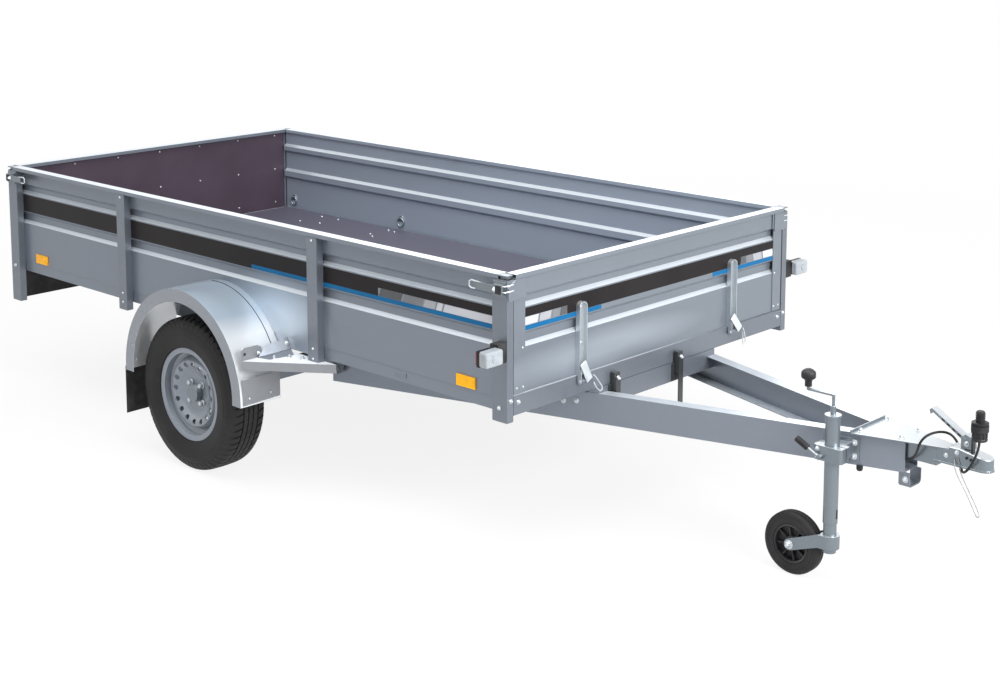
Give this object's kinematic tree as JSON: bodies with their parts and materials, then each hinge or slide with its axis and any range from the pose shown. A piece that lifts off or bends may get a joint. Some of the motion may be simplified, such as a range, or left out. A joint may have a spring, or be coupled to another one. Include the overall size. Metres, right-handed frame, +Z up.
{
  "type": "utility trailer",
  "caption": "Galvanised box trailer with ribbed drop-down gates, mudguards, a V-shaped drawbar that lets the box tip, a ball coupling and a jockey wheel.",
  "frame": {"origin": "on the ground, in the middle of the overall length and width", "axes": "+X forward to the coupling, +Y to the left side, +Z up"},
  "size_m": [4.377, 1.97, 0.991],
  "materials": {
    "galvanised_steel": "galvanised, satin with a faint spangle",
    "zinc_bright": "zinc plated, satin",
    "steel_wire": "twisted wire",
    "film_faced_plywood": "film faced, slightly glossy",
    "tyre_rubber": "matt",
    "black_rubber": "matt",
    "wheel_silver": "silver paint, satin",
    "black_plastic": "matt",
    "red_lens": "clear gloss",
    "amber_lens": "reflector, gloss",
    "clear_lens": "gloss",
    "band_black": "adhesive film, satin",
    "band_blue": "adhesive film, satin",
    "band_grey": "adhesive film, satin",
    "white_plate": "blank, satin"
  },
  "bodies": {
    "box": {"side_wall_right": "galvanised_steel", "side_wall_left": "galvanised_steel", "side_sills": "galvanised_steel", "end_rails": "galvanised_steel", "floor_crossmembers": "galvanised_steel", "drawbar_pivot_brackets": "galvanised_steel", "floor_board": "film_faced_plywood", "front_posts": "galvanised_steel", "rear_posts": "galvanised_steel", "stake_posts_left": "galvanised_steel", "stake_posts_right": "galvanised_steel", "axle_beam": "galvanised_steel", "axle_arms": "galvanised_steel", "mudguard_right": "galvanised_steel", "mudguard_left": "galvanised_steel", "mudguard_brackets": "galvanised_steel", "mud_flaps": "black_rubber", "light_board": "black_plastic", "rear_lamps": "red_lens", "number_plate": "white_plate", "marker_arms": "black_rubber", "marker_lamps": "clear_lens", "corner_latches": "zinc_bright", "side_reflectors": "amber_lens", "lashing_rings": "zinc_bright"},
    "front_gate": {"front_gate": "galvanised_steel", "front_gate_straps": "galvanised_steel"},
    "rear_gate": {"rear_gate": "galvanised_steel", "rear_gate_board": "film_faced_plywood", "rear_gate_straps": "galvanised_steel"},
    "drawbar": {"drawbar_beam_right": "galvanised_steel", "drawbar_beam_left": "galvanised_steel", "drawbar_crossmember": "galvanised_steel", "drawbar_cover_plate": "galvanised_steel", "drawbar_rest": "galvanised_steel", "tilt_latches": "zinc_bright", "coupling_head": "zinc_bright", "coupling_handle": "zinc_bright", "plug_holder": "black_plastic", "plug": "black_plastic", "cable": "black_rubber", "cable_grommet": "black_rubber", "safety_cable": "steel_wire", "jockey_clamp": "zinc_bright", "jockey_clamp_lever": "zinc_bright", "jockey_lever_grip": "black_plastic"},
    "jockey_tube": {"jockey_tube": "zinc_bright", "jockey_knob": "black_plastic"},
    "jockey_fork": {"jockey_fork": "zinc_bright"},
    "jockey_wheel": {"jockey_tyre": "black_rubber", "jockey_hub": "black_plastic"},
    "wheel_right": {"tyre_right": "tyre_rubber", "rim_right": "wheel_silver", "hub_right": "galvanised_steel"},
    "wheel_left": {"tyre_left": "tyre_rubber", "rim_left": "wheel_silver", "hub_left": "galvanised_steel"}
  },
  "joints": [
    {"name": "wheel_right_spin", "type": "hinge", "parent": "box", "child": "wheel_right", "pos_m": [-0.6495, -0.876, 0.2985], "axis": [0, 1, 0], "continuous": true},
    {"name": "wheel_left_spin", "type": "hinge", "parent": "box", "child": "wheel_left", "pos_m": [-0.6495, 0.876, 0.2985], "axis": [0, 1, 0], "continuous": true},
    {"name": "front_gate_hinge", "type": "hinge", "parent": "box", "child": "front_gate", "pos_m": [0.9005, 0, 0.565], "axis": [0, 1, 0], "range_deg": [0, 90]},
    {"name": "rear_gate_hinge", "type": "hinge", "parent": "box", "child": "rear_gate", "pos_m": [-2.1795, 0, 0.565], "axis": [0, -1, 0], "range_deg": [0, 120]},
    {"name": "drawbar_tilt", "type": "hinge", "parent": "box", "child": "drawbar", "pos_m": [-0.1195, 0, 0.45], "axis": [0, 1, 0], "range_deg": [0, 18]},
    {"name": "jockey_slide", "type": "slide", "parent": "drawbar", "child": "jockey_tube", "axis": [0, 0, 1], "range_m": [0, 0.115]},
    {"name": "jockey_swivel", "type": "hinge", "parent": "jockey_tube", "child": "jockey_fork", "pos_m": [1.7165, -0.164, 0.3], "axis": [0, 0, 1], "continuous": true},
    {"name": "jockey_wheel_spin", "type": "hinge", "parent": "jockey_fork", "child": "jockey_wheel", "pos_m": [1.5835, -0.164, 0.105], "axis": [0, 1, 0], "continuous": true}
  ]
}
